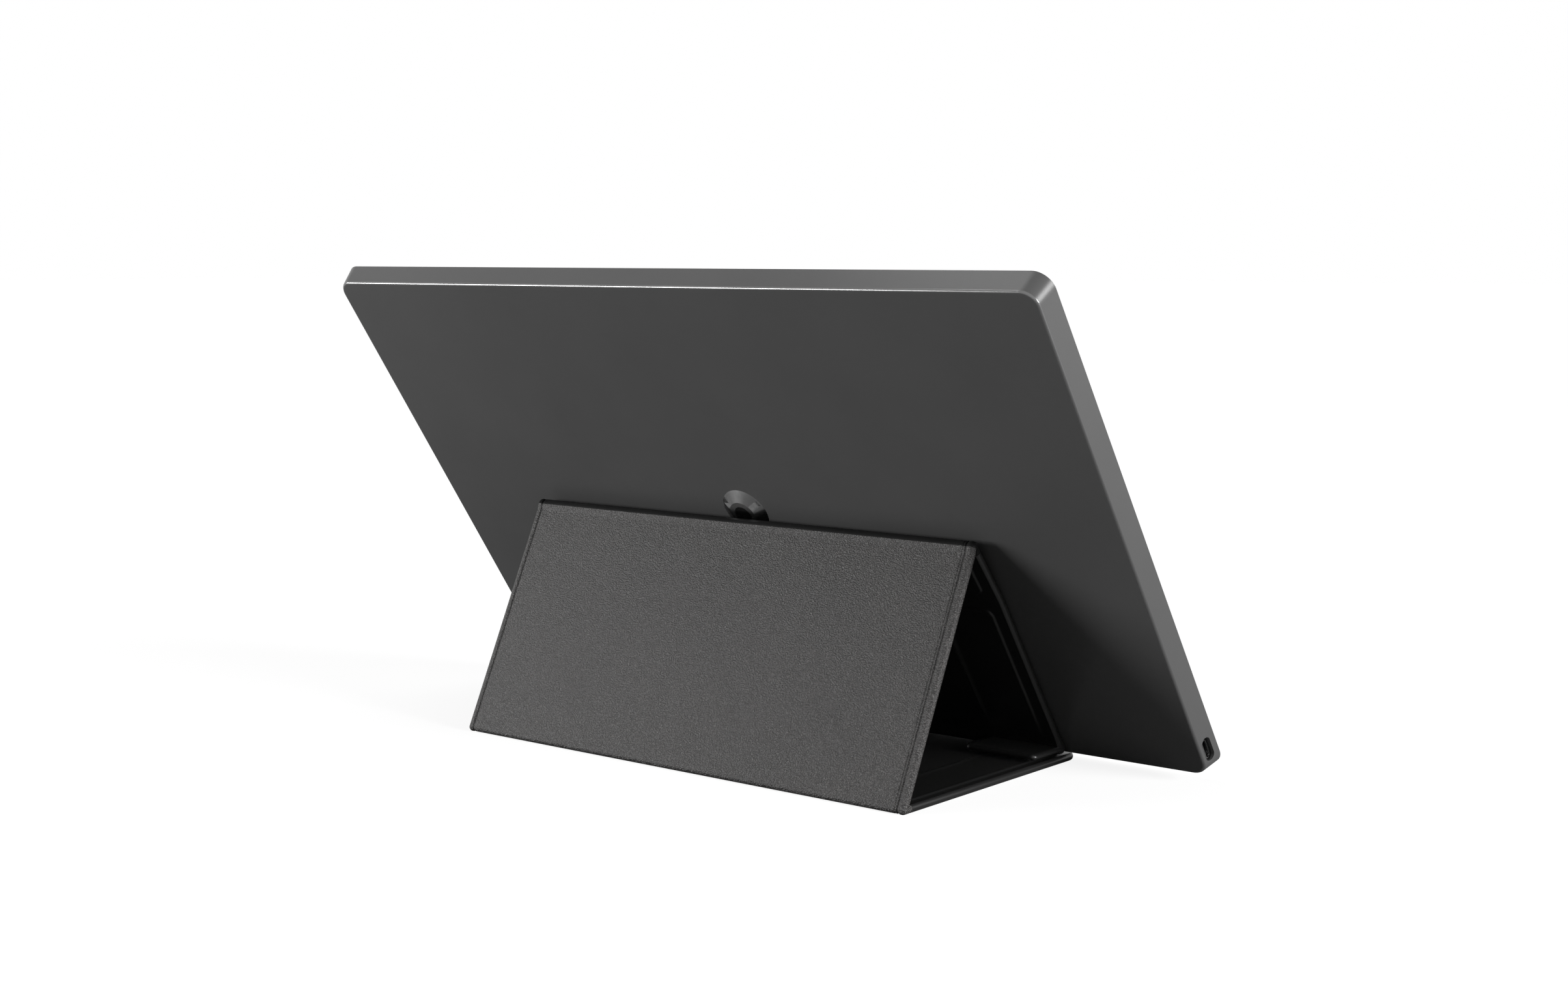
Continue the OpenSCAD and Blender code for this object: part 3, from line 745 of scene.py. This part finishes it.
def edge_profile():
    """Offset and height round the casing's edge, from the back to the inner floor.

    The outer edge is an arc of radius EDGE_R between the back and the leaning side, which ends
    in a thin lip round the screen's border. A loop just before and after each bend keeps the
    flat faces flat.
    """
    lean = math.atan2(SIDE_FLARE, MONITOR_T)
    reach = EDGE_R / math.tan((math.pi / 2 + lean) / 2)
    turn = np.linspace(-math.pi / 2, -lean, EDGE_POINTS)
    arc = np.stack([LIP - reach + EDGE_R * np.cos(turn), EDGE_R + EDGE_R * np.sin(turn)], -1)

    def side(z, out=LIP):
        """A point of the leaning side, moved outwards."""
        return [SIDE_FLARE * z / MONITOR_T + out, z]

    top = MONITOR_T - 0.05
    return np.array([
        [LIP - reach - 0.6, 0.0], *arc, side(arc[-1, 1] + 0.3), side(top - 0.35),
        side(top - 0.1), side(top, LIP - 0.05), side(top, 0.03), side(SHELL_H, 0.03),
        [0.2 - SIDE_WALL, SHELL_H - 0.02], [-SIDE_WALL, SHELL_H - 0.2],
        [-SIDE_WALL, BACK_WALL]])


def slot_prism(length, width, depth):
    """The port's opening as a prism with half-round ends, through the side wall at -X."""
    turn = np.linspace(-math.pi / 2, math.pi / 2, 12)
    r = width / 2
    half = np.stack([length / 2 - r + r * np.cos(turn), r * np.sin(turn)], -1)
    ring = np.concatenate([half, -half]) + (PORT_UP, PORT_IN)
    outside, inside = -MONITOR_W / 2 - 4, -MONITOR_W / 2 + depth
    return on_monitor(np.stack([np.insert(ring, 0, x, axis=1) for x in (outside, inside)]))


def casing():
    """The monitor's shell: the edge profile carried round the rounded outline.

    The back and the inner floor are flat caps, and the port's opening is cut out of the side.
    """
    profile = edge_profile()
    loops = np.stack([np.pad(rounded_outline(offset, height), ((0, 0), (0, 1)),
                             constant_values=height) for offset, height in profile])
    rows, columns = loops.shape[:2]
    faces = tube_faces(rows, columns)
    marks = np.zeros(len(faces), int)
    # The edge arc's faces get the edge finish, whose lighter tone is a painted highlight.
    marks[columns:EDGE_POINTS * columns] = 1
    shell = piece("casing_shell", on_monitor(loops), faces, [CASING, CASING_EDGE_PAINTED_HIGHLIGHT], marks=marks)
    prism = slot_prism(PORT_L + PORT_PLAY, PORT_W + PORT_PLAY, SIDE_WALL + 1.5)
    opening = piece("opening", prism, tube_faces(*prism.shape[:2]), [])
    cut = shell.modifiers.new("opening", "BOOLEAN")
    cut.object, cut.operation, cut.solver = opening, "DIFFERENCE", "EXACT"
    made = shell.evaluated_get(bpy.context.evaluated_depsgraph_get())
    made = bpy.data.meshes.new_from_object(made)
    shell.modifiers.clear()
    shell.data = made
    bpy.data.objects.remove(opening)
    shell.data.shade_smooth()
    shell.data.set_sharp_from_angle(angle=math.radians(24))
    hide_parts("back_shell")
    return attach(shell, "monitor")


def bezel():
    """The CAD border of the screen with its corners rounded to the casing's radius.

    Each point of a corner's arc moves from c + r u to c' + r' u, where u is its direction.
    """
    solid = bmesh.new()
    solid.from_mesh(frame["nodes"]["front_bezel"].data)
    bmesh.ops.remove_doubles(solid, verts=solid.verts, dist=1e-7)
    solid.verts.index_update()
    at = np.array([v.co for v in solid.verts]) / MM
    faces = [[v.index for v in face.verts] for face in solid.faces]
    solid.free()
    yz = at[:, 1:] - BACK_EDGE
    x, y, z = at[:, 0], yz @ MONITOR_UP, yz @ MONITOR_OUT
    flare = SIDE_FLARE * z / MONITOR_T
    middle = MONITOR_H / 2
    across, along = np.abs(x) - MONITOR_W / 2 - flare, np.abs(y - middle) - middle - flare
    radius = CAD_CORNER_R - SIDE_FLARE + flare
    u, v = across + radius, along + radius
    on_arc = (u > -0.01) & (v > -0.01) & (np.hypot(u, v) > radius - 0.05)
    grow = FRONT_CORNER_R - radius
    x = np.where(on_arc, x + np.sign(x) * grow * (u / radius - 1), x)
    y = np.where(on_arc, y + np.sign(y - middle) * grow * (v / radius - 1), y)
    made = piece("screen_border", on_monitor(np.stack([x, y, z], -1)), faces, [BEZEL],
                 sharp=30.0)
    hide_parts("front_bezel")
    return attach(made, "monitor")


def rays_that_see(tree):
    """1 for camera, glossy and transmission rays, which see a white room, otherwise 0."""
    rays = tree.nodes.new("ShaderNodeLightPath")
    seen = rays.outputs["Is Camera Ray"]
    for kind in ("Is Glossy Ray", "Is Transmission Ray"):
        either = tree.nodes.new("ShaderNodeMath")
        either.operation = "MAXIMUM"
        tree.links.new(seen, either.inputs[0])
        tree.links.new(rays.outputs[kind], either.inputs[1])
        seen = either.outputs[0]
    return seen


def studio():
    """A floor that glows to white away from the object, and a world that looks white."""
    scene = bpy.context.scene
    scene.view_settings.view_transform = "Standard"
    bpy.ops.mesh.primitive_plane_add(size=30, location=(0, 0, 0))
    floor = bpy.context.object
    floor.name = "floor"
    f = Finish("floor_paper", srgb(FLOOR_TONE), 0.9, Specular_IOR_Level=0.0)
    away = f.node("VectorMath", {"operation": "LENGTH"}, [f.place()], output="Value")
    rays = f.tree.nodes.new("ShaderNodeLightPath")
    seen = Value(f, rays.outputs["Is Camera Ray"])
    mirrored = Value(f, rays_that_see(f.tree)) - seen
    glow = (f.ramp(away, *SEEN_GLOW, FLOOR_GLOW, 1.0) * seen
            + f.ramp(away, *MIRRORED_GLOW) * mirrored)
    f.set("Emission Color", f.mix(glow, (0, 0, 0, 1), (1, 1, 1, 1)))
    f.set("Emission Strength", 1.0)
    floor.data.materials.append(f.material)
    world = bpy.data.worlds.new("studio")
    scene.world = world
    world.use_nodes = True
    tree = world.node_tree
    strength = tree.nodes.new("ShaderNodeMapRange")
    strength.inputs["To Min"].default_value = WORLD_LIGHT
    strength.inputs["To Max"].default_value = 1.0
    tree.links.new(rays_that_see(tree), strength.inputs["Value"])
    tree.links.new(strength.outputs[0], tree.nodes["Background"].inputs["Strength"])
    tree.nodes["Background"].inputs["Color"].default_value = (1, 1, 1, 1)


def softbox(name, at, aim, wide, high, power):
    """A rectangular area light at a place in metres, turned towards another."""
    light = bpy.data.lights.new(name, "AREA")
    light.energy, light.shape = power, "RECTANGLE"
    light.size, light.size_y = wide, high
    lamp = bpy.data.objects.new(name, light)
    bpy.context.scene.collection.objects.link(lamp)
    lamp.location = at
    way = np.array(aim) - np.array(at)
    lamp.rotation_euler = Vector(way).to_track_quat("-Z", "Y").to_euler()


def photo_camera():
    """The camera from its fitted place, yaw, pitch and roll, with the fitted focal length."""
    yaw, pitch, roll = (math.radians(a) for a in (CAMERA_YAW, CAMERA_PITCH, CAMERA_ROLL))
    ahead = np.array([math.sin(yaw) * math.cos(pitch), -math.cos(yaw) * math.cos(pitch),
                      -math.sin(pitch)])
    level = np.array([-math.cos(yaw), -math.sin(yaw), 0.0])
    above = np.cross(level, ahead)
    right = level * math.cos(roll) + above * math.sin(roll)
    up = above * math.cos(roll) - level * math.sin(roll)
    lens = bpy.data.cameras.new("photo_camera")
    lens.sensor_width = SENSOR
    lens.lens = SENSOR * FOCAL_PIXELS / IMAGE_WIDTH
    lens.clip_start = 0.01
    camera = bpy.data.objects.new("photo_camera", lens)
    turn = Matrix(np.stack([right, up, -ahead], 1).tolist()).to_4x4()
    camera.matrix_world = Matrix.Translation([c * MM for c in CAMERA_AT]) @ turn
    bpy.context.scene.collection.objects.link(camera)
    bpy.context.scene.camera = camera


base_panel()
rear_panel()
front_panel()
folds()
tabs = [end_tab(side) for side in (-1, 1)]
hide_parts("tab_skins", "tab_linings")
casing()
bezel()
studio()
softbox("key", (1.45, 1.42, 0.3), (0, 0, 0.1), 1.1, 0.5, 32)
softbox("side", (-1.7, -0.1, 0.45), (0, 0, 0.12), 0.7, 0.6, 36)
softbox("top", (0.15, 0.1, 0.9), (-0.18, 0, 0.1), 0.4, 0.4, 1.8)
photo_camera()
